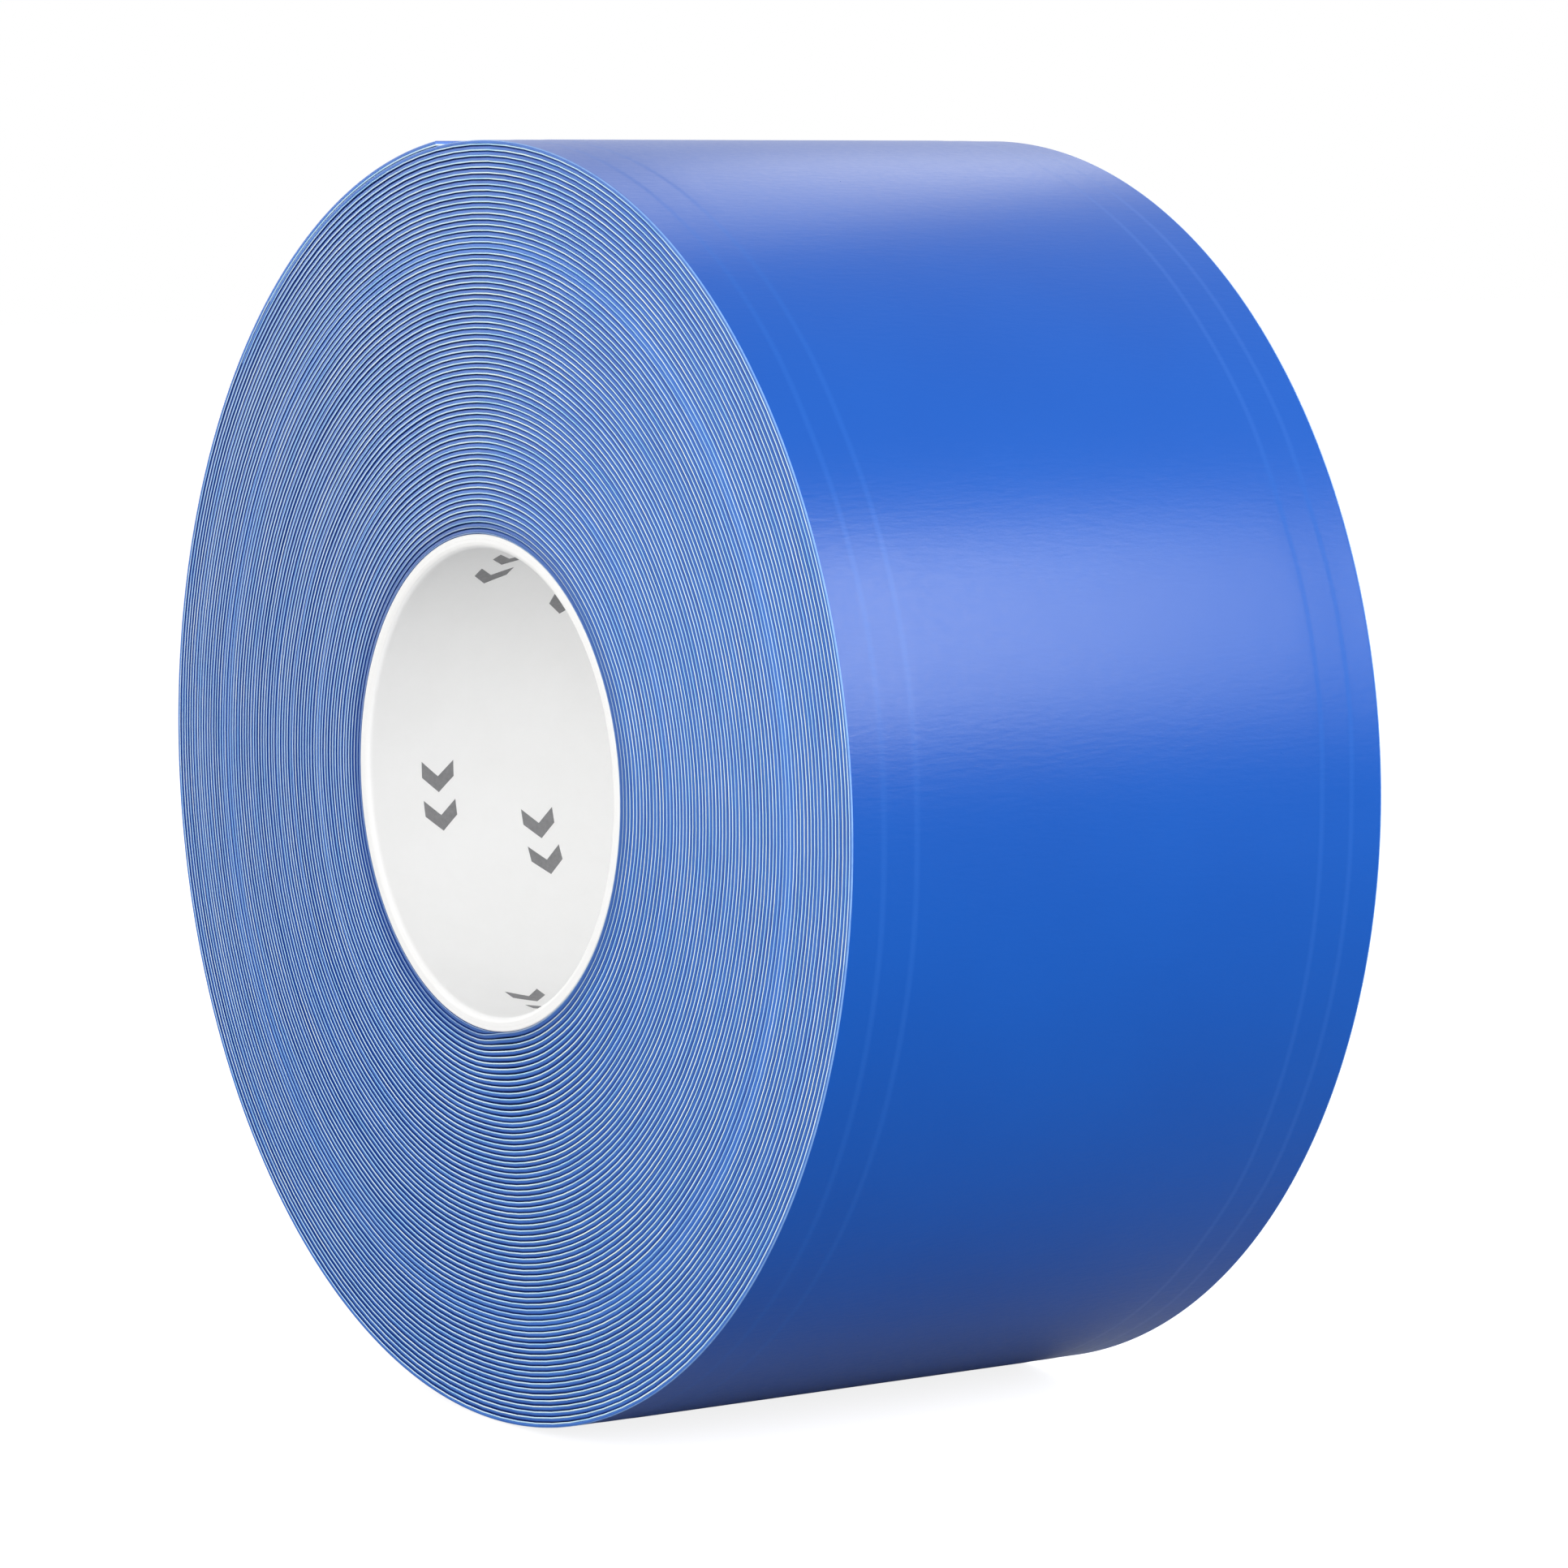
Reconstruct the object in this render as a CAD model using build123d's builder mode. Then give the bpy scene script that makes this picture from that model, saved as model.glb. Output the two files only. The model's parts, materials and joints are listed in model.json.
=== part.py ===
"""A roll of heavy-duty vinyl marking tape on a paper core, standing on its rim.

The roll's axis lies along Y and +Z is up. The origin is the centre of the core's bore. The tape is one
strip with its release liner under it, wound outwards from the core. Its free end is three short lengths
that lift one after another. All sizes are in millimetres and all angles in degrees.
"""

import os
from math import cos, radians, sin

from build123d import *

os.makedirs("parts", exist_ok=True)

# ---- Driving dimensions --------------------------------------------------------------------------
TAPE_WIDTH = 101.6  # 4 in tape
CORE_BORE_DIAMETER = 76.2  # 3 in core
PRINTED_PLY = 0.4  # white paper that lines the bore
BOARD_PLY = 0.6  # each of the three grey board plies
COVER_PLY = 0.2  # smooth paper on the outside of the core
TAPE_THICKNESS = 0.72  # vinyl with its adhesive coat
LINER_THICKNESS = 0.07  # release liner, on the adhesive side
LAYER_AIR = 0.065  # air left between the wound layers
CORE_CLEARANCE = 0.07  # core to the first layer of liner
HALF_TURNS = 139  # the last one ends at the tape's free end

TAIL_TIP_ANGLE = -8.0  # where the tape ends, from straight up and positive towards +X
TAIL_SEGMENT_ARC = 11.5  # arc of each of the three lengths of the free end
TAIL_SLIT = 0.05  # slit across the tape at each of its hinge lines

# ---- Worked out from them ------------------------------------------------------------------------
BORE_RADIUS = CORE_BORE_DIAMETER / 2
BOARD_1_RADIUS = BORE_RADIUS + PRINTED_PLY
BOARD_2_RADIUS = BOARD_1_RADIUS + BOARD_PLY
BOARD_3_RADIUS = BOARD_2_RADIUS + BOARD_PLY
COVER_RADIUS = BOARD_3_RADIUS + BOARD_PLY
CORE_RADIUS = COVER_RADIUS + COVER_PLY

WRAP_PITCH = TAPE_THICKNESS + LINER_THICKNESS + 2 * LAYER_AIR
LINER_START_RADIUS = CORE_RADIUS + CORE_CLEARANCE
TAPE_START_RADIUS = LINER_START_RADIUS + LINER_THICKNESS + LAYER_AIR

LAST_GROWTH = (HALF_TURNS - 1) * WRAP_PITCH / 2
LINER_END_RADIUS = LINER_START_RADIUS + LAST_GROWTH
TAPE_END_RADIUS = TAPE_START_RADIUS + LAST_GROWTH
HINGE_RADIUS = TAPE_END_RADIUS + TAPE_THICKNESS
SLIT_ARC = TAIL_SLIT / radians(HINGE_RADIUS)
FIRST_ANGLE = TAIL_TIP_ANGLE - 180 * HALF_TURNS

TAIL_1_ANGLE = TAIL_TIP_ANGLE - 3 * TAIL_SEGMENT_ARC
TAIL_2_ANGLE = TAIL_TIP_ANGLE - 2 * TAIL_SEGMENT_ARC
TAIL_3_ANGLE = TAIL_TIP_ANGLE - TAIL_SEGMENT_ARC
LAST_ARC = 180 - 3 * TAIL_SEGMENT_ARC - SLIT_ARC / 2

# The face at -Y, drawn with its first axis up and its second towards +X. Extrusions run towards +Y.
near_face = Plane(origin=(0, -TAPE_WIDTH / 2, 0), x_dir=(0, 0, 1), z_dir=(0, 1, 0))


def ring(inner_radius, wall):
    """A ring about the roll's axis, drawn in the open sketch."""
    Circle(inner_radius + wall)
    Circle(inner_radius, mode=Mode.SUBTRACT)


def turn_centre(turn):
    """Centre of one half turn: the roll's axis, and on every second one half a pitch to the side of it."""
    shift = turn % 2 * WRAP_PITCH / 2
    return (shift * cos(radians(FIRST_ANGLE)), shift * sin(radians(FIRST_ANGLE)))


def wound_edge(start_radius):
    """One side of the wound strip, drawn in the open line as half turns that grow by half a pitch each."""
    edges = []
    for turn in range(HALF_TURNS):
        radius = start_radius + turn * WRAP_PITCH / 2
        arc = LAST_ARC if turn == HALF_TURNS - 1 else 180
        edges.append(CenterArc(turn_centre(turn), radius, FIRST_ANGLE + 180 * turn, arc))
    return edges


def wound_outline(start_radius, thickness):
    """The end-on outline, in the open line, of a strip wound out from start_radius."""
    inside = wound_edge(start_radius)
    outside = wound_edge(start_radius + thickness)
    Line(inside[0] @ 0, outside[0] @ 0)
    Line(inside[-1] @ 1, outside[-1] @ 1)


def tail_outline(start_angle, inner_radius, thickness):
    """The end-on outline, in the open line, of one length of the free end."""
    first = start_angle + SLIT_ARC / 2
    arc = TAIL_SEGMENT_ARC - SLIT_ARC
    centre = turn_centre(HALF_TURNS - 1)
    inside = CenterArc(centre, inner_radius, first, arc)
    outside = CenterArc(centre, inner_radius + thickness, first, arc)
    Line(inside @ 0, outside @ 0)
    Line(inside @ 1, outside @ 1)


# ---- Core: five paper plies, from the bore outwards ----------------------------------------------
with BuildPart() as core_printed_ply:
    with BuildSketch(near_face):
        ring(BORE_RADIUS, PRINTED_PLY)
    extrude(amount=TAPE_WIDTH)

with BuildPart() as core_board_ply_1:
    with BuildSketch(near_face):
        ring(BOARD_1_RADIUS, BOARD_PLY)
    extrude(amount=TAPE_WIDTH)

with BuildPart() as core_board_ply_2:
    with BuildSketch(near_face):
        ring(BOARD_2_RADIUS, BOARD_PLY)
    extrude(amount=TAPE_WIDTH)

with BuildPart() as core_board_ply_3:
    with BuildSketch(near_face):
        ring(BOARD_3_RADIUS, BOARD_PLY)
    extrude(amount=TAPE_WIDTH)

with BuildPart() as core_cover_ply:
    with BuildSketch(near_face):
        ring(COVER_RADIUS, COVER_PLY)
    extrude(amount=TAPE_WIDTH)

# ---- Wound strip: the release liner, and the tape on top of it -----------------------------------
with BuildPart() as wound_liner:
    with BuildSketch(near_face):
        with BuildLine():
            wound_outline(LINER_START_RADIUS, LINER_THICKNESS)
        make_face()
    extrude(amount=TAPE_WIDTH)

with BuildPart() as wound_tape:
    with BuildSketch(near_face):
        with BuildLine():
            wound_outline(TAPE_START_RADIUS, TAPE_THICKNESS)
        make_face()
    extrude(amount=TAPE_WIDTH)

# ---- Free end: three lengths of tape with their liner, hinged at the tape's outer face -----------
with BuildPart() as tail_tape_1:
    with BuildSketch(near_face):
        with BuildLine():
            tail_outline(TAIL_1_ANGLE, TAPE_END_RADIUS, TAPE_THICKNESS)
        make_face()
    extrude(amount=TAPE_WIDTH)

with BuildPart() as tail_liner_1:
    with BuildSketch(near_face):
        with BuildLine():
            tail_outline(TAIL_1_ANGLE, LINER_END_RADIUS, LINER_THICKNESS)
        make_face()
    extrude(amount=TAPE_WIDTH)

with BuildPart() as tail_tape_2:
    with BuildSketch(near_face):
        with BuildLine():
            tail_outline(TAIL_2_ANGLE, TAPE_END_RADIUS, TAPE_THICKNESS)
        make_face()
    extrude(amount=TAPE_WIDTH)

with BuildPart() as tail_liner_2:
    with BuildSketch(near_face):
        with BuildLine():
            tail_outline(TAIL_2_ANGLE, LINER_END_RADIUS, LINER_THICKNESS)
        make_face()
    extrude(amount=TAPE_WIDTH)

with BuildPart() as tail_tape_3:
    with BuildSketch(near_face):
        with BuildLine():
            tail_outline(TAIL_3_ANGLE, TAPE_END_RADIUS, TAPE_THICKNESS)
        make_face()
    extrude(amount=TAPE_WIDTH)

with BuildPart() as tail_liner_3:
    with BuildSketch(near_face):
        with BuildLine():
            tail_outline(TAIL_3_ANGLE, LINER_END_RADIUS, LINER_THICKNESS)
        make_face()
    extrude(amount=TAPE_WIDTH)

# ---- Labels and files ----------------------------------------------------------------------------
core_printed_ply.part.label = "core_printed_ply"
core_board_ply_1.part.label = "core_board_ply_1"
core_board_ply_2.part.label = "core_board_ply_2"
core_board_ply_3.part.label = "core_board_ply_3"
core_cover_ply.part.label = "core_cover_ply"
wound_liner.part.label = "wound_liner"
wound_tape.part.label = "wound_tape"
tail_tape_1.part.label = "tail_tape_1"
tail_liner_1.part.label = "tail_liner_1"
tail_tape_2.part.label = "tail_tape_2"
tail_liner_2.part.label = "tail_liner_2"
tail_tape_3.part.label = "tail_tape_3"
tail_liner_3.part.label = "tail_liner_3"

export_step(core_printed_ply.part, "parts/core_printed_ply.step")
export_step(core_board_ply_1.part, "parts/core_board_ply_1.step")
export_step(core_board_ply_2.part, "parts/core_board_ply_2.step")
export_step(core_board_ply_3.part, "parts/core_board_ply_3.step")
export_step(core_cover_ply.part, "parts/core_cover_ply.step")
export_step(wound_liner.part, "parts/wound_liner.step")
export_step(wound_tape.part, "parts/wound_tape.step")
export_step(tail_tape_1.part, "parts/tail_tape_1.step")
export_step(tail_liner_1.part, "parts/tail_liner_1.step")
export_step(tail_tape_2.part, "parts/tail_tape_2.step")
export_step(tail_liner_2.part, "parts/tail_liner_2.step")
export_step(tail_tape_3.part, "parts/tail_tape_3.step")
export_step(tail_liner_3.part, "parts/tail_liner_3.step")
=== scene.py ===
"""Looks of a roll of thick blue vinyl marking tape on a white paper core, standing on its rim.

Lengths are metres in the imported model's frame: the roll's axis is Y, +Z is up and the origin is the centre of
the bore. Angles round the roll start straight up and grow towards +X. The tape is wound outwards as they grow.
"""

import json
from math import atan2, cos, degrees, hypot, pi, radians, sin

import bpy
import numpy as np
from mathutils import Matrix, Quaternion, Vector

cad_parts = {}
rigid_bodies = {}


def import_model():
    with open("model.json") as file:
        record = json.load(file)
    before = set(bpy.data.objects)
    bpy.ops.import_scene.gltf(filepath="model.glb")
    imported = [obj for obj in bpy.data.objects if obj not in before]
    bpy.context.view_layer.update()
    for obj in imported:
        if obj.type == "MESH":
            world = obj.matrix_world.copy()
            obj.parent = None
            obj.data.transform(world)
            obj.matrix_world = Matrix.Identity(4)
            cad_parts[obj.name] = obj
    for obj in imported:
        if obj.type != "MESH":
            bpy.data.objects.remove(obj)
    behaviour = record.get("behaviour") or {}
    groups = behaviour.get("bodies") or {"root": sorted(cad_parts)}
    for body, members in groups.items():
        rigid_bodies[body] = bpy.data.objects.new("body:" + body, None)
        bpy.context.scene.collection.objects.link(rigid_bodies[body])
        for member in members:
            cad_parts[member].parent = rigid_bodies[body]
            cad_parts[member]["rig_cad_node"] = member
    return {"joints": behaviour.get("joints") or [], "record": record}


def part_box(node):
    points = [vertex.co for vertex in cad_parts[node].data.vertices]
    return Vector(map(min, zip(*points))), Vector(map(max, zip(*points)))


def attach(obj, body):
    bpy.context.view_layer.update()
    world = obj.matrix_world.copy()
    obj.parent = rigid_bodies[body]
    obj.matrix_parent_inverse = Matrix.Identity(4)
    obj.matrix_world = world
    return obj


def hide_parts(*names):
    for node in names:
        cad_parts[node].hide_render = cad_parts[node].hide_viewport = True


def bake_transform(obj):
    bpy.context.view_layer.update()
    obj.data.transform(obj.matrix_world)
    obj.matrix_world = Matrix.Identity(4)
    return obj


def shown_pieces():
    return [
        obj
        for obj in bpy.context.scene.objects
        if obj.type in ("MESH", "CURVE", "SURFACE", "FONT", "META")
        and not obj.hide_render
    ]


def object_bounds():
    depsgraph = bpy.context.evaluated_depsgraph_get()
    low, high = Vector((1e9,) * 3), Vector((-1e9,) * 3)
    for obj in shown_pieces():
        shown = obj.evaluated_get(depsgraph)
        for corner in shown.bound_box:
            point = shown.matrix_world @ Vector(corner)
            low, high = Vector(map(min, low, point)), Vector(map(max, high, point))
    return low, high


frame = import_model()
cad_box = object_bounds()
scene = bpy.context.scene

MM = 0.001

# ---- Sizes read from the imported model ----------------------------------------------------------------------
record = frame["record"]
bore_mount = next(m for m in record["mounts"] if m["kind"] == "bore")
BORE_RADIUS = bore_mount["dims"]["r_mm"] * MM
HALF_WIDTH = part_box("wound_tape")[1].y
CORE_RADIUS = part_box("core_cover_ply")[1].z

joints = {j["name"]: j for j in frame["joints"]}
hinge_points = [Vector(joints[n]["pos_m"]) for n in ("tail_lift", "tail_bend_2", "tail_bend_3")]
hinge_angles = [degrees(atan2(p.x, p.z)) for p in hinge_points]
HINGE_RADIUS = hypot(hinge_points[0].x, hinge_points[0].z)
TAIL_STEP = hinge_angles[1] - hinge_angles[0]
TIP_ANGLE = hinge_angles[2] + TAIL_STEP

# ---- The wound strip, as the CAD source winds it: half turns about two centres --------------------------------
HALF_TURNS = 139
WRAP_PITCH = 0.92 * MM
TAPE_TOP = 0.855 * MM  # from the inside of a wrap's liner to the outside of its tape
START_RADIUS = HINGE_RADIUS - TAPE_TOP - (HALF_TURNS - 1) * WRAP_PITCH / 2
FIRST_ANGLE = TIP_ANGLE - 180 * HALF_TURNS
END_ANGLE = hinge_angles[0]

# ---- Section of one wrap, measured from the inside of its liner ------------------------------------------------
LINER_TOP = 0.215 * MM  # the liner's edge with the pale edge of the adhesive on it
TAPE_BOTTOM = 0.225 * MM
WRAP_TOP = 0.775 * MM  # wraps inside the roll are drawn thinner, so that the groove between them shows

START_RAMP = 0.035  # share of a turn over which a wrap climbs over the strip's start
START_THIN = 0.03  # share of the strip's thickness at its very start
SETTLED_TURNS = 14  # turns after which that climb has evened out
WAVES = ((0.5, 5, 0.6), (0.4, 9, 2.1), (0.35, 14, 4.0), (0.3, 23, 1.0))  # amount, waves round the roll, phase
WAVE_HEIGHT = 0.075 * MM
NOISE_KNOTS = 4096


def wound_points(angle, height):
    """Points (x, z) at an unwound angle and a height over the inside of the wrap's liner, both as arrays."""
    turn = np.clip(np.floor((angle - FIRST_ANGLE) / 180 + 1e-9), 0, HALF_TURNS - 1)
    radius = START_RADIUS + turn * WRAP_PITCH / 2 + height
    shift = (turn % 2) * WRAP_PITCH / 2
    first = radians(FIRST_ANGLE)
    x = shift * sin(first) + radius * np.sin(np.radians(angle))
    z = shift * cos(first) + radius * np.cos(np.radians(angle))
    return x, z


def ramp(share):
    """From 0 to 1 over the stretch where a wrap climbs over the strip's start, given its share of a turn."""
    t = np.clip(share / START_RAMP, 0, 1)
    return t * t * (3 - 2 * t)


def settle(angle):
    """How far inwards a wrap lies from the spiral, in metres, as each one closes up on the wrap or core under it.

    A wrap keeps its radius for most of a turn and climbs over the strip's start in one short ramp. That evens out
    further up the roll.
    """
    turns = (angle - FIRST_ANGLE) / 360
    share = turns - np.floor(turns + 1e-9)
    rise = np.where(share > 0.5, WRAP_PITCH / 2 * (1 - np.cos(2 * pi * (share - 0.5))), 0)
    climb = np.where((share < START_RAMP) & (turns > 0.9), WRAP_PITCH * (1 - ramp(share)), 0)
    return (rise + climb) * np.clip(1 - (turns - 1) / SETTLED_TURNS, 0, 1)


def feather(angle):
    """Share of its thickness that the strip has: it starts thin, so that the next wrap closes down on it."""
    turns = (angle - FIRST_ANGLE) / 360
    return np.where(turns < START_RAMP, np.maximum(ramp(turns), START_THIN), 1.0)


def wander(angle):
    """The slight waviness that every wrap shares, in metres outwards."""
    a = np.radians(angle)
    return WAVE_HEIGHT * sum(amount * np.sin(count * a + phase) for amount, count, phase in WAVES)


def smooth_noise(x, seed):
    """Smooth random numbers from -1 to 1 along x, one knot per unit."""
    knots = np.random.default_rng(seed).uniform(-1, 1, NOISE_KNOTS)
    i = np.floor(x).astype(int)
    t = x - i
    t = t * t * (3 - 2 * t)
    return knots[i % NOISE_KNOTS] * (1 - t) + knots[(i + 1) % NOISE_KNOTS] * t


def make_mesh(name, points, faces, materials, face_material=None, sharp=32):
    """A smooth mesh object whose edges over an angle in degrees are sharp."""
    mesh = bpy.data.meshes.new(name)
    mesh.from_pydata(points, [], faces)
    for m in materials:
        mesh.materials.append(m)
    if face_material is not None:
        mesh.polygons.foreach_set("material_index", np.asarray(face_material, np.int32))
    mesh.update()
    mesh.shade_smooth()
    mesh.set_sharp_from_angle(angle=radians(sharp))
    obj = bpy.data.objects.new(name, mesh)
    scene.collection.objects.link(obj)
    return obj


def swept(name, rows, materials, section_material, sharp=32):
    """A closed solid through rows of section points: rows is (steps, points, 3), each row going round the section."""
    steps, count, _ = rows.shape
    i = np.arange(steps - 1)[:, None] * count
    j = np.arange(count)[None, :]
    k = (j + 1) % count
    quads = np.stack([i + j, i + k, i + count + k, i + count + j], -1).reshape(-1, 4)
    faces = quads.tolist()
    faces.append(list(range(count))[::-1])
    faces.append(list(range((steps - 1) * count, steps * count)))
    slots = np.tile(section_material, steps - 1).tolist() + [1 % len(materials)] * 2
    return make_mesh(name, rows.reshape(-1, 3).tolist(), faces, materials, slots, sharp)


def add_floats(obj, name, values):
    """A number for each point, which the materials read by name."""
    layer = obj.data.attributes.new(name, "FLOAT", "POINT")
    layer.data.foreach_set("value", np.asarray(values, np.float32).ravel())


# ---- Materials ---------------------------------------------------------------------------------------------
class Nodes:
    """Short ways to add nodes to a new material."""

    def __init__(self, name):
        self.material = bpy.data.materials.new(name)
        self.material.use_nodes = True
        self.tree = self.material.node_tree
        self.shader = self.tree.nodes["Principled BSDF"]

    def add(self, kind, **values):
        node = self.tree.nodes.new(kind)
        for key, value in values.items():
            if hasattr(node, key):
                setattr(node, key, value)
            else:
                node.inputs[key.replace("_", " ")].default_value = value
        return node

    def link(self, a, b):
        self.tree.links.new(a, b)

    def place(self):
        """The point on the piece, in metres."""
        return self.add("ShaderNodeTexCoord").outputs["Object"]

    def number(self, name):
        """A number that add_floats gave to the points."""
        return self.add("ShaderNodeAttribute", attribute_name=name).outputs["Fac"]

    def math(self, operation, a, b, c=None):
        node = self.add("ShaderNodeMath", operation=operation)
        for socket, value in zip(node.inputs, (a, b, c)):
            if isinstance(value, (int, float)):
                socket.default_value = value
            elif value is not None:
                self.link(value, socket)
        return node.outputs[0]

    def noise(self, vector, scale, detail=2.0, roughness=0.5):
        node = self.add("ShaderNodeTexNoise", Scale=scale, Detail=detail, Roughness=roughness)
        self.link(vector, node.inputs["Vector"])
        return node.outputs["Fac"]

    def mix(self, factor, a, b):
        """A colour from a to b, each of them a colour or the output of a node."""
        node = self.add("ShaderNodeMix", data_type="RGBA")
        self.link(factor, node.inputs[0])
        for socket, value in zip([s for s in node.inputs if s.type == "RGBA"], (a, b)):
            if isinstance(value, tuple):
                socket.default_value = (*value, 1.0)
            else:
                self.link(value, socket)
        return next(s for s in node.outputs if s.type == "RGBA")

    def bump(self, height, distance, strength, normal=None):
        node = self.add("ShaderNodeBump", Strength=strength, Distance=distance)
        self.link(height, node.inputs["Height"])
        if normal is not None:
            self.link(normal, node.inputs["Normal"])
        return node.outputs["Normal"]


def linear(r, g, b):
    """A colour written as it looks on screen, from 0 to 255, as the shader wants it."""
    return tuple(((c / 255 + 0.055) / 1.055) ** 2.4 for c in (r, g, b))


VINYL_BLUE = linear(12, 85, 179)
VINYL_DEEP = linear(9, 78, 170)
VINYL_STEP_PALE = linear(62, 124, 214)
# painted light: the edge's paler blue at the wrap's inside, partly the cut vinyl's own colour and partly the light on
# it
EDGE_PALE_LIT = linear(64, 126, 214)
# painted shade: the darkening in the groove between one wrap and the next
EDGE_GROOVE_SHADE = linear(12, 52, 138)
EDGE_FLUSH = linear(60, 118, 208)
# painted highlight on the outermost wrap's rounded corner
RIM_PAINTED_HIGHLIGHT = linear(150, 190, 236)
LINER_PALE = linear(168, 220, 252)
LINER_WHITE = linear(232, 252, 255)
LINER_FLUSH = linear(140, 194, 246)
# painted shade: the white liner's flat sides, dark blue where they lie between the wraps
LINER_GAP_SHADE = linear(28, 84, 182)
CORE_SHADE = linear(46, 88, 160)
INK_DARK = linear(116, 116, 118)
INK_PALE = linear(150, 150, 152)

ROUGHNESS_LOW = 0.26
ROUGHNESS_SPREAD = 0.08
STREAK_STRETCH = (1.0, 0.22, 1.0)
EDGE_UNEVENNESS = 0.9


def vinyl():
    """The tape's smooth face: faint clouds of colour, fine streaks round the roll and paler steps."""
    n = Nodes("blue_vinyl")
    place = n.place()
    clouds = n.noise(place, scale=28.0, detail=3.0)
    step_pale = n.number("step_pale")
    body = n.mix(clouds, VINYL_BLUE, VINYL_DEEP)
    # a paler blue along the two steps near each edge
    n.link(n.mix(step_pale, body, VINYL_STEP_PALE), n.shader.inputs["Base Color"])
    rough = n.math("MULTIPLY_ADD", n.noise(place, scale=900.0), ROUGHNESS_SPREAD, ROUGHNESS_LOW)
    n.link(rough, n.shader.inputs["Roughness"])
    n.shader.inputs["IOR"].default_value = 1.5
    n.shader.inputs["Specular IOR Level"].default_value = 0.22
    drawn = n.add("ShaderNodeMapping")
    drawn.inputs["Scale"].default_value = STREAK_STRETCH
    n.link(place, drawn.inputs["Vector"])
    streaks = n.noise(drawn.outputs["Vector"], scale=1300.0, detail=3.0, roughness=0.6)
    soft = n.bump(n.noise(place, scale=160.0, detail=1.0), distance=0.03 * MM, strength=0.35)
    n.link(n.bump(streaks, distance=0.03 * MM, strength=0.8, normal=soft), n.shader.inputs["Normal"])
    return n.material


def streak_noise(n, scale, detail=3.0):
    """Noise along the strip's length, so that it differs from wrap to wrap and runs along each one."""
    along = n.number("along")
    vector = n.add("ShaderNodeCombineXYZ")
    n.link(along, vector.inputs["X"])
    return n.noise(vector.outputs["Vector"], scale, detail, roughness=0.6)


def vinyl_edge():
    """The slit edge of the tape: paler than its face, partly its own colour and partly painted light, with painted
    shade darkening it towards the next wrap, and uneven along its length.
    """
    n = Nodes("blue_vinyl_edge_painted_shade")
    place = n.place()
    across = n.number("across")
    tone = n.number("tone")
    shade = n.number("shade")
    grain = n.noise(place, scale=420.0, detail=4.0, roughness=0.65)
    uneven = n.math("SUBTRACT", streak_noise(n, scale=70.0), 0.5)
    spread = n.math("MULTIPLY_ADD", uneven, EDGE_UNEVENNESS, across)
    # painted light and shade: from a pale, partly lit blue at the wrap's inside to a painted groove shade at its
    # outside
    body = n.mix(tone, n.mix(spread, EDGE_PALE_LIT, EDGE_GROOVE_SHADE), EDGE_FLUSH)
    n.link(n.mix(shade, body, CORE_SHADE), n.shader.inputs["Base Color"])
    n.shader.inputs["Roughness"].default_value = 0.5
    n.link(n.bump(grain, distance=0.04 * MM, strength=0.6), n.shader.inputs["Normal"])
    return n.material


def rim():
    """The outermost wrap's rounded corner, with a painted highlight where it would catch the light."""
    n = Nodes("blue_vinyl_rim_painted_highlight")
    place = n.place()
    patchy = n.noise(place, scale=350.0, detail=4.0, roughness=0.7)
    # painted highlight: pale patches on the corner stand in for the light it catches
    n.link(n.mix(patchy, EDGE_PALE_LIT, RIM_PAINTED_HIGHLIGHT), n.shader.inputs["Base Color"])
    n.shader.inputs["Roughness"].default_value = 0.45
    return n.material


def liner_gap():
    """The flat sides of the liner inside the roll: the white liner painted dark blue as painted shade, for the little
    blue light between the wraps.
    """
    n = Nodes("release_liner_gap_painted_shade")
    place = n.place()
    patchy = n.noise(place, scale=260.0, detail=3.0)
    # painted shade: dark blues in place of the white liner, which lies in the groove's shade
    n.link(n.mix(patchy, LINER_GAP_SHADE, EDGE_GROOVE_SHADE), n.shader.inputs["Base Color"])
    n.shader.inputs["Roughness"].default_value = 0.6
    return n.material


def liner_edge():
    """The release liner and the pale adhesive on it."""
    n = Nodes("release_liner")
    place = n.place()
    tone = n.number("tone")
    shade = n.number("shade")
    bright = n.add("ShaderNodeMapRange", From_Min=0.36, From_Max=0.6)
    n.link(streak_noise(n, scale=45.0, detail=4.0), bright.inputs["Value"])
    pale = n.mix(bright.outputs["Result"], LINER_PALE, LINER_WHITE)
    pale = n.mix(tone, pale, LINER_FLUSH)
    n.link(n.mix(shade, pale, CORE_SHADE), n.shader.inputs["Base Color"])
    n.shader.inputs["Roughness"].default_value = 0.55
    grain = n.noise(place, scale=300.0, detail=4.0, roughness=0.7)
    n.link(n.bump(grain, distance=0.03 * MM, strength=0.5), n.shader.inputs["Normal"])
    return n.material


def paper(name, light, dark, scale):
    """Smooth paper with faint fibres between two tones."""
    n = Nodes(name)
    place = n.place()
    fibre = n.noise(place, scale, detail=5.0, roughness=0.7)
    n.link(n.mix(fibre, light, dark), n.shader.inputs["Base Color"])
    n.shader.inputs["Roughness"].default_value = 0.62
    grain = n.noise(place, scale=2200.0, detail=3.0, roughness=0.7)
    n.link(n.bump(grain, distance=0.02 * MM, strength=0.4), n.shader.inputs["Normal"])
    return n.material


def ink():
    """The grey print on the core's paper."""
    n = Nodes("grey_ink")
    place = n.place()
    patchy = n.noise(place, scale=1200.0, detail=4.0, roughness=0.7)
    n.link(n.mix(patchy, INK_DARK, INK_PALE), n.shader.inputs["Base Color"])
    n.shader.inputs["Roughness"].default_value = 0.7
    return n.material


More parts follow.
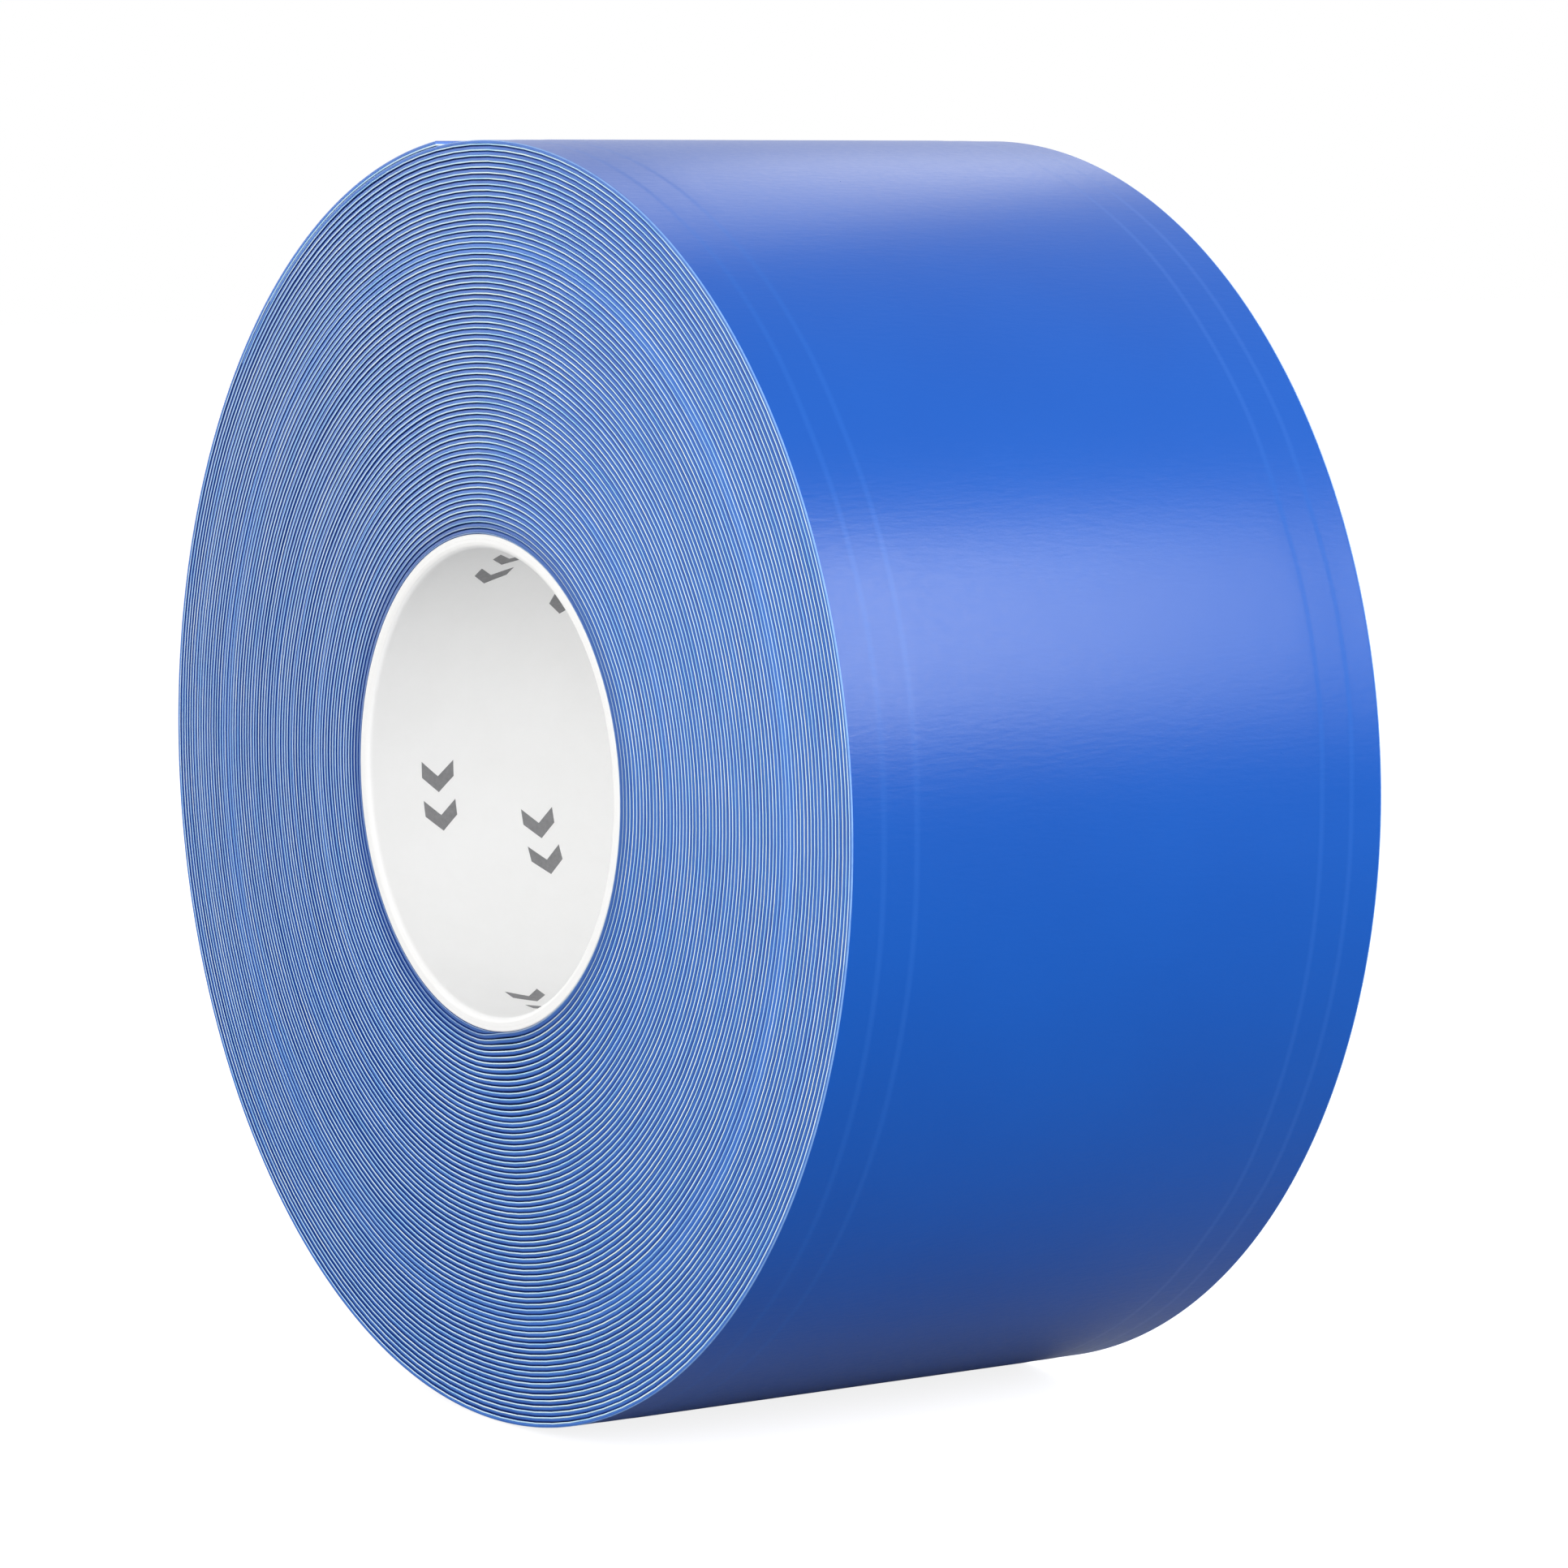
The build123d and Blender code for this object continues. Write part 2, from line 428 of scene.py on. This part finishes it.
blue = vinyl()
blue_edge_painted_shade = vinyl_edge()
blue_rim_highlight = rim()
liner_material = liner_edge()
liner_shade_material = liner_gap()
white_paper = paper("printed_paper", linear(251, 251, 251), linear(245, 245, 244), scale=90.0)
board_paper = paper("core_board", linear(251, 251, 250), linear(243, 242, 240), scale=160.0)
cover_material = paper("cover_paper", linear(251, 251, 250), linear(243, 243, 241), scale=120.0)
ink_material = ink()

# ---- Wound wraps ---------------------------------------------------------------------------------------------
FLUSH_BANDS = ((86.8 * MM, 2.4 * MM, 0.45), (54.0 * MM, 1.8 * MM, 0.15))  # radius, spread, amount
SHADE_AMOUNT = 0.75
SHADE_DEPTH = 2.4 * MM
STRAY_KNOT = 9  # degrees from one knot of the steps' straying to the next
STRAY_SEED = 61
DEEP = 2 * MM  # section points further in than this belong to the steps near the edge, and stray


def flushness(radius):
    """From 0 to 1: how far the wraps at a radius lie flush, where neither liner nor groove shows much."""
    total = np.zeros_like(radius)
    for centre, spread, amount in FLUSH_BANDS:
        total = np.maximum(total, amount * np.exp(-(((radius - centre) / spread) ** 2)))
    return total


def core_shade(radius):
    """From 0 to 1: how much darker the first wraps are, close to the core."""
    return SHADE_AMOUNT * np.exp(-(((radius - CORE_RADIUS) / SHADE_DEPTH) ** 2))


def wrap_rows(angles, section, inset, wave, stray=0.0):
    """Rows of points for a swept strip.

    section is a list of (height, depth in from the face) for one side face, inset is how much further in each side
    lies, wave moves the strip outwards, and stray moves its deep points sideways.
    """
    near = [(h, -1, d) for h, d in section]
    far = [(h, 1, d) for h, d in reversed(section)]
    rows = np.zeros((len(angles), len(near) + len(far), 3))
    for k, (height, side, depth) in enumerate(near + far):
        x, z = wound_points(angles, height * feather(angles))
        r = np.hypot(x, z)
        push = 1 + (wave - settle(angles)) / r
        rows[:, k, 0] = x * push
        sideways = stray * smooth_noise(angles / STRAY_KNOT + 50 * side, STRAY_SEED) if depth > DEEP else 0
        rows[:, k, 1] = side * (HALF_WIDTH - depth - inset[side] - sideways)
        rows[:, k, 2] = z * push
    return rows


STEP = 3.0  # degrees between rows of points on the wraps inside the roll
OUTER_START = END_ANGLE - 368  # the outermost wrap overlaps the inner ones by 8 degrees
inner_angles = np.arange(FIRST_ANGLE, OUTER_START + 1e-6, STEP)
inner_angles = np.append(inner_angles, OUTER_START)
turns_in = (inner_angles - FIRST_ANGLE) / 360
turns_left = (OUTER_START - inner_angles) / 360
fade = np.clip(turns_in / 3, 0, 1) * np.clip(turns_left / 2, 0, 1)
inner_wave = wander(inner_angles) * fade
inner_radius = np.hypot(*wound_points(inner_angles, np.zeros(len(inner_angles))))
inner_flush = flushness(inner_radius)


def edge_inset(angles, seed, low, high):
    """How far in from the roll's face each wrap's edge lies: a step per wrap and a slow drift along it."""
    drift = 0.6 * smooth_noise(angles / 360 + 11.3, seed) + 0.4 * smooth_noise(angles / 37, seed + 1)
    return low + (high - low) * (0.5 + 0.5 * drift)


tape_inset = {
    side: edge_inset(inner_angles, seed, 0.05 * MM, 0.19 * MM) * (1 - 0.5 * inner_flush)
    for side, seed in ((-1, 20), (1, 40))
}

tape_section = [
    (TAPE_BOTTOM, 0.10 * MM),
    (TAPE_BOTTOM + 0.05 * MM, 0.0),
    (TAPE_BOTTOM + 0.24 * MM, 0.02 * MM),
    (WRAP_TOP - 0.12 * MM, 0.07 * MM),
    (WRAP_TOP, 0.22 * MM),
]
liner_section = [(0.0, 0.05 * MM), (0.5 * LINER_TOP, 0.0), (LINER_TOP, 0.05 * MM)]


def section_materials(section, edge_slot, face_slot):
    """Material slot of each face round the section: side faces get the edge's, the rest the flat face's."""
    count = len(section)
    return [edge_slot] * (count - 1) + [face_slot] + [edge_slot] * (count - 1) + [face_slot]


def add_tones(obj, section, angles, tone, low, high):
    """What the edge materials read at each point: place across the wrap and along the strip, flushness and shade."""
    heights = np.array([h for h, _ in section] + [h for h, _ in reversed(section)])
    steps = len(angles)
    radius = np.hypot(*wound_points(angles, np.zeros(steps)))
    length = np.concatenate([[0], np.cumsum(np.radians(np.diff(angles)) * radius[1:])])
    add_floats(obj, "across", np.tile((heights - low) / (high - low), steps))
    add_floats(obj, "along", np.repeat(length, len(heights)))
    add_floats(obj, "tone", np.repeat(np.broadcast_to(tone, (steps,)), len(heights)))
    add_floats(obj, "shade", np.repeat(core_shade(radius), len(heights)))


wrap_tone = np.clip(inner_flush + 0.3 * smooth_noise(inner_angles / 360 * 2.3, 90), 0, 1)

tape_wraps = swept(
    "tape_wraps",
    wrap_rows(inner_angles, tape_section, tape_inset, inner_wave),
    # the side faces carry the edge's painted light and painted groove shade
    [blue, blue_edge_painted_shade],
    section_materials(tape_section, 1, 0),
)
add_tones(tape_wraps, tape_section, inner_angles, wrap_tone, TAPE_BOTTOM, WRAP_TOP)
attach(tape_wraps, "roll")
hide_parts("wound_tape")

liner_angles = np.append(np.arange(FIRST_ANGLE, END_ANGLE, STEP), END_ANGLE)
liner_turns_left = (OUTER_START - liner_angles) / 360
liner_fade = np.clip((liner_angles - FIRST_ANGLE) / 1080, 0, 1) * np.clip(liner_turns_left / 2, 0, 1)
liner_flush = flushness(np.hypot(*wound_points(liner_angles, np.zeros(len(liner_angles)))))
liner_edges = {
    side: edge_inset(liner_angles, seed, 0.0, 0.10 * MM) + 0.04 * MM * liner_flush
    for side, seed in ((-1, 27), (1, 47))
}
liner_wraps = swept(
    "liner_wraps",
    wrap_rows(liner_angles, liner_section, liner_edges, wander(liner_angles) * liner_fade),
    [liner_material, liner_shade_material],
    # the liner's flat sides take the painted shade between the wraps
    section_materials(liner_section, 0, 1),
)
liner_tone = np.clip(liner_flush + 0.4 * smooth_noise(liner_angles / 360 * 2.9, 91), 0, 1)
add_tones(liner_wraps, liner_section, liner_angles, liner_tone, 0.0, LINER_TOP)
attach(liner_wraps, "roll")
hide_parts("wound_liner")

# ---- Outermost wrap and free end: one smooth strip with two fine steps near each edge -----------------------
STEPS = (12.0 * MM, 6.0 * MM)
STEP_DROP = 0.045 * MM
STEP_WIDTH = 1.4 * MM
STEP_WANDER = 0.22 * MM
STEP_PALENESS = 0.12


def outer_section():
    """Half of the strip's section as (height, depth in from the side face), from inside round the edge to outside.

    The tape gets thinner towards its edge in two small steps, which are a little paler. The second list says how
    much paler each point is.
    """
    low = TAPE_TOP - len(STEPS) * STEP_DROP
    points = [
        (TAPE_BOTTOM, 1.0 * MM),
        (TAPE_BOTTOM, 0.12 * MM),
        (TAPE_BOTTOM + 0.05 * MM, 0.02 * MM),
        (TAPE_BOTTOM + 0.30 * MM, 0.0),
        (low - 0.13 * MM, 0.02 * MM),
        (low - 0.05 * MM, 0.07 * MM),
        (low - 0.012 * MM, 0.14 * MM),
        (low, 0.26 * MM),
        (low, 0.60 * MM),
    ]
    pale = [0.0] * len(points)
    height = low
    for place in reversed(STEPS):
        for share, amount in ((0, 0), (0.2, 0.6), (0.4, 1), (0.6, 1), (0.8, 0.6), (1, 0)):
            rise = STEP_DROP * share * share * (3 - 2 * share)
            points.append((height + rise, place + (share - 0.5) * STEP_WIDTH))
            pale.append(STEP_PALENESS * amount)
        height += STEP_DROP
    points.append((TAPE_TOP, STEPS[0] + 3 * STEP_WIDTH))
    return points, pale + [0.0]


smooth_section, section_pale = outer_section()
EDGE_FACES = range(1, 4)
# faces of the outermost wrap's rounded corner, which take the painted highlight
RIM_HIGHLIGHT_FACES = range(4, 7)


def outer_strip(name, start, end, step, nodes):
    """A length of the outermost wrap between two angles, with a row of points every step degrees."""
    angles = np.linspace(start, end, max(2, round((end - start) / step) + 1))
    still = np.zeros(len(angles))
    rows = wrap_rows(angles, smooth_section, {-1: still, 1: still}, still, STEP_WANDER)
    count = len(smooth_section)
    one_side = [1 if k in EDGE_FACES else 2 if k in RIM_HIGHLIGHT_FACES else 0 for k in range(count - 1)]
    # the side faces take the edge's painted light and shade, the corner the painted highlight
    obj = swept(name, rows, [blue, blue_edge_painted_shade, blue_rim_highlight], one_side + [0] + one_side[::-1] + [0], 50)
    add_tones(obj, smooth_section, angles, 0.15, TAPE_BOTTOM, TAPE_TOP)
    add_floats(obj, "step_pale", np.tile(section_pale + section_pale[::-1], len(angles)))
    if nodes:
        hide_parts(*nodes)
    return obj


FIRST_JOIN = END_ANGLE - 2.0
joins = [FIRST_JOIN] + [a + 0.5 * TAIL_STEP for a in hinge_angles[:2]] + [TIP_ANGLE]

outer_wrap = outer_strip("outer_wrap", OUTER_START, FIRST_JOIN, 0.75, ())
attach(outer_wrap, "roll")

for k in range(3):
    strip = outer_strip(f"tail_{k + 1}_strip", joins[k], joins[k + 1], 0.25, [f"tail_tape_{k + 1}"])
    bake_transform(strip)
    angles = np.linspace(joins[k], joins[k + 1], 60)
    still = {side: np.full(len(angles), 0.05 * MM) for side in (-1, 1)}
    rows = wrap_rows(angles, liner_section, still, np.zeros(len(angles)))
    under = swept(f"tail_{k + 1}_liner_strip", rows, [liner_material], [0] * (2 * len(liner_section)))
    add_tones(under, liner_section, angles, 0.0, 0.0, LINER_TOP)
    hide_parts(f"tail_liner_{k + 1}")
    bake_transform(under)

# ---- Core: five plies whose ends follow one rounded edge at the bore -------------------------------------------
PLY_ROWS = 288
EDGE_ROUND = 1.1 * MM
OUTER_ROUND = 0.25 * MM
PLY_GAP = 0.012 * MM
CORE_INSET = 0.05 * MM


def core_end(radius):
    """How far in from the roll's face the core ends at a radius."""
    inner = np.clip(1 - (radius - BORE_RADIUS) / EDGE_ROUND, 0, 1)
    outer = np.clip(1 - (CORE_RADIUS - radius) / OUTER_ROUND, 0, 1)
    rounding = EDGE_ROUND * (1 - np.sqrt(1 - inner**2)) + OUTER_ROUND * (1 - np.sqrt(1 - outer**2))
    return rounding + CORE_INSET


def ply(name, node, inside, material):
    """One tube of the core, from a radius inside to just short of its own outside radius in the CAD."""
    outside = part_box(node)[1].z
    radii = np.linspace(inside, outside - PLY_GAP, 6)
    profile = [(r, -(HALF_WIDTH - core_end(r))) for r in radii]
    profile += [(r, HALF_WIDTH - core_end(r)) for r in radii[::-1]]
    turn = np.linspace(0, 2 * pi, PLY_ROWS, endpoint=False)
    count = len(profile)
    points = [(r * sin(t), y, r * cos(t)) for t in turn for r, y in profile]
    faces = []
    for i in range(PLY_ROWS):
        this, following = i * count, (i + 1) % PLY_ROWS * count
        for j in range(count):
            k = (j + 1) % count
            faces.append((this + j, this + k, following + k, following + j))
    obj = make_mesh(name, points, faces, [material], None, 50)
    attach(obj, "roll")
    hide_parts(node)
    return obj


plies = [("printed_ply", "core_printed_ply", white_paper, "printed_paper")]
plies += [(f"board_ply_{k}", f"core_board_ply_{k}", board_paper, "core_board") for k in (1, 2, 3)]
plies += [("cover_ply", "core_cover_ply", cover_material, "cover_paper")]
inside = BORE_RADIUS
for name, node, material, slot in plies:
    ply(name, node, inside, material)
    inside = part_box(node)[1].z

# ---- Plain grey chevrons printed on the bore, in place of the lettering there -----------------------------------
MARKS_ROUND = 5
MARK_ROWS = 5
ROW_STEP = 18.9 * MM
FIRST_ROW = 13.7 * MM
FIRST_MARK_ANGLE = -27.8
ROW_TWIST = -13.8
MARK_HEIGHT = 6.2 * MM
MARK_LENGTH = 12.4 * MM
MARK_STROKE = 2.7 * MM
MARK_DEPTH = 2.6 * MM
MARK_GAP = 6.6 * MM  # from one chevron of a pair to the next
INK_THICKNESS = 0.02 * MM


def chevron(start, stroke, depth):
    """Outline of one chevron along u, pointing towards +u, MARK_HEIGHT tall."""
    half = MARK_HEIGHT / 2
    return [
        (start, -half), (start + stroke, -half), (start + stroke + depth, 0), (start + stroke, half),
        (start, half), (start + depth, 0),
    ]


def bore_print():
    """Pairs of chevrons in rows along the bore, each row turned a little from the one before."""
    points, faces = [], []
    outline_pair = [
        chevron(-MARK_LENGTH / 2, MARK_STROKE, MARK_DEPTH),
        chevron(-MARK_LENGTH / 2 + MARK_GAP, MARK_STROKE, MARK_DEPTH),
    ]
    for row in range(MARK_ROWS):
        y = -HALF_WIDTH + FIRST_ROW + row * ROW_STEP
        for k in range(MARKS_ROUND):
            middle = radians(FIRST_MARK_ANGLE + ROW_TWIST * row - 360 / MARKS_ROUND * k)
            for outline in outline_pair:
                add_patch(points, faces, outline, middle, y)
    return make_mesh("bore_print", points, faces, [ink_material], None, 30)


def add_patch(points, faces, outline, middle, y):
    """One chevron as a thin closed solid bent to the bore: its two halves are swept in small steps along v."""
    steps = 8
    columns = 4
    half = MARK_HEIGHT / 2
    (u0, _), (u1, _), (u2, _), _, _, (u3, _) = outline
    first = len(points)
    for radius in (BORE_RADIUS + INK_THICKNESS, BORE_RADIUS - INK_THICKNESS):
        for i in range(2 * steps + 1):
            v = -half + half * i / steps
            lean = 1 - abs(v) / half
            left = u0 + (u3 - u0) * lean
            right = u1 + (u2 - u1) * lean
            for s in range(columns):
                u = left + (right - left) * s / (columns - 1)
                a = middle - u / BORE_RADIUS
                points.append((radius * sin(a), y + v, radius * cos(a)))
    rows = 2 * steps + 1
    layer = rows * columns

    def at(top, i, j):
        return first + top * layer + i * columns + j

    for i in range(rows - 1):
        for j in range(columns - 1):
            faces.append((at(0, i, j), at(0, i + 1, j), at(0, i + 1, j + 1), at(0, i, j + 1)))
            faces.append((at(1, i, j), at(1, i, j + 1), at(1, i + 1, j + 1), at(1, i + 1, j)))
        faces.append((at(0, i, 0), at(1, i, 0), at(1, i + 1, 0), at(0, i + 1, 0)))
        last = columns - 1
        faces.append((at(0, i, last), at(0, i + 1, last), at(1, i + 1, last), at(1, i, last)))
    for j in range(columns - 1):
        faces.append((at(0, 0, j), at(0, 0, j + 1), at(1, 0, j + 1), at(1, 0, j)))
        faces.append((at(0, rows - 1, j), at(1, rows - 1, j), at(1, rows - 1, j + 1), at(0, rows - 1, j + 1)))


prints = bore_print()
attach(prints, "roll")


def face_outwards(obj):
    """Turns a closed mesh's faces over if they point inwards."""
    mesh = obj.data
    mesh.calc_loop_triangles()
    co = np.zeros(len(mesh.vertices) * 3)
    mesh.vertices.foreach_get("co", co)
    co = co.reshape(-1, 3)
    tri = np.zeros(len(mesh.loop_triangles) * 3, np.int32)
    mesh.loop_triangles.foreach_get("vertices", tri)
    a, b, c = (co[tri.reshape(-1, 3)[:, k]] for k in range(3))
    if np.einsum("ij,ij->i", a, np.cross(b, c)).sum() < 0:
        mesh.flip_normals()


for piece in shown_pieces():
    if "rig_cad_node" not in piece:
        face_outwards(piece)

# ---- Floor, lights and camera ----------------------------------------------------------------------------------
WHITE = (1, 1, 1, 1)
WORLD_LIGHT = 0.4  # what the white world gives the rays that carry light
FLOOR_SIZE = 12
FLOOR_CLEARANCE = 0.2 * MM
FLOOR_SEEN = 0.45  # the floor's grey for the camera and reflections
FLOOR_BOUNCE = 0.36  # its grey for the rays that carry light
FLOOR_LIFT = 0.84  # what it gives off for the camera alone, so that it looks white
floor_z = cad_box[0].z - FLOOR_CLEARANCE


def background_rays(tree):
    """One where a ray comes from the camera, a reflection or glass, and nought for the rays that carry light."""
    path = tree.nodes.new("ShaderNodeLightPath")
    first = tree.nodes.new("ShaderNodeMath")
    both = tree.nodes.new("ShaderNodeMath")
    first.operation = both.operation = "MAXIMUM"
    tree.links.new(path.outputs["Is Camera Ray"], first.inputs[0])
    tree.links.new(path.outputs["Is Glossy Ray"], first.inputs[1])
    tree.links.new(first.outputs[0], both.inputs[0])
    tree.links.new(path.outputs["Is Transmission Ray"], both.inputs[1])
    return both.outputs[0]


def floor_material():
    """Plain pale floor: white where it is lit, with the object's shadow left on it, and little bounce."""
    n = Nodes("floor")
    seen = background_rays(n.tree)
    grey = n.math("MULTIPLY_ADD", seen, FLOOR_SEEN - FLOOR_BOUNCE, FLOOR_BOUNCE)
    n.link(grey, n.shader.inputs["Base Color"])
    n.shader.inputs["Roughness"].default_value = 0.9
    n.shader.inputs["Specular IOR Level"].default_value = 0.0
    n.shader.inputs["Emission Color"].default_value = WHITE
    camera_ray = n.add("ShaderNodeLightPath").outputs["Is Camera Ray"]
    n.link(n.math("MULTIPLY", camera_ray, FLOOR_LIFT), n.shader.inputs["Emission Strength"])
    return n.material


bpy.ops.mesh.primitive_plane_add(size=FLOOR_SIZE, location=(0, 0, floor_z))
floor = bpy.context.object
floor.name = "floor"
floor.data.materials.append(floor_material())

world = bpy.data.worlds.new("studio")
scene.world = world
world.use_nodes = True
tree = world.node_tree
background = tree.nodes["Background"]
background.inputs["Color"].default_value = WHITE
background.inputs["Strength"].default_value = WORLD_LIGHT
white = tree.nodes.new("ShaderNodeBackground")
white.inputs["Color"].default_value = WHITE
white.inputs["Strength"].default_value = 1.0
world_mix = tree.nodes.new("ShaderNodeMixShader")
tree.links.new(background_rays(tree), world_mix.inputs["Fac"])
tree.links.new(background.outputs["Background"], world_mix.inputs[1])
tree.links.new(white.outputs["Background"], world_mix.inputs[2])
tree.links.new(world_mix.outputs["Shader"], tree.nodes["World Output"].inputs["Surface"])


def softbox(name, direction, distance, width, height, radiance, roll=0.0):
    """An area light that faces the origin from a direction, turned by roll degrees.

    Its radiance is in units where 1 is white.
    """
    data = bpy.data.lights.new(name, "AREA")
    data.shape = "RECTANGLE"
    data.size = width
    data.size_y = height
    data.energy = pi * width * height * radiance
    obj = bpy.data.objects.new(name, data)
    away = Vector(direction).normalized()
    obj.location = away * distance
    obj.rotation_mode = "QUATERNION"
    obj.rotation_quaternion = away.to_track_quat("Z", "Y") @ Quaternion((0, 0, 1), radians(roll))
    scene.collection.objects.link(obj)


softbox("right_strip", (0.786, 0.468, 0.4035), distance=1.2, width=0.28, height=0.64, radiance=19.5, roll=-16)
softbox("top_strip", (-0.49, 0.53, 0.69), distance=1.2, width=0.17, height=0.75, radiance=1.7, roll=20)
softbox("front_box", (0.50, -0.84, 0.22), distance=1.4, width=0.9, height=0.9, radiance=5.8)
softbox("left_fill", (-0.93, -0.25, 0.25), distance=1.4, width=0.9, height=0.9, radiance=2.5)
softbox("back_fill", (-0.20, 0.95, 0.25), distance=1.4, width=0.9, height=0.9, radiance=2.0)

CAMERA_PLACE = (0.8093, -0.5407, 0.0998)
CAMERA_RIGHT = (0.5611, 0.8277, 0.0)
CAMERA_BACK = (0.8232, -0.558, 0.10515)
SENSOR_WIDTH = 36.0
LENS = 134.3
FAR_LIMIT = 50

camera_data = bpy.data.cameras.new("camera")
camera = bpy.data.objects.new("camera", camera_data)
scene.collection.objects.link(camera)
scene.camera = camera
camera_data.sensor_width = SENSOR_WIDTH
camera_data.lens = LENS
camera_data.clip_end = FAR_LIMIT
right = Vector(CAMERA_RIGHT).normalized()
back = Vector(CAMERA_BACK).normalized()
up = back.cross(right).normalized()
right = up.cross(back)
camera_turn = Matrix((right, up, back)).transposed().to_4x4()
camera.matrix_world = Matrix.Translation(CAMERA_PLACE) @ camera_turn

scene.view_settings.view_transform = "Standard"
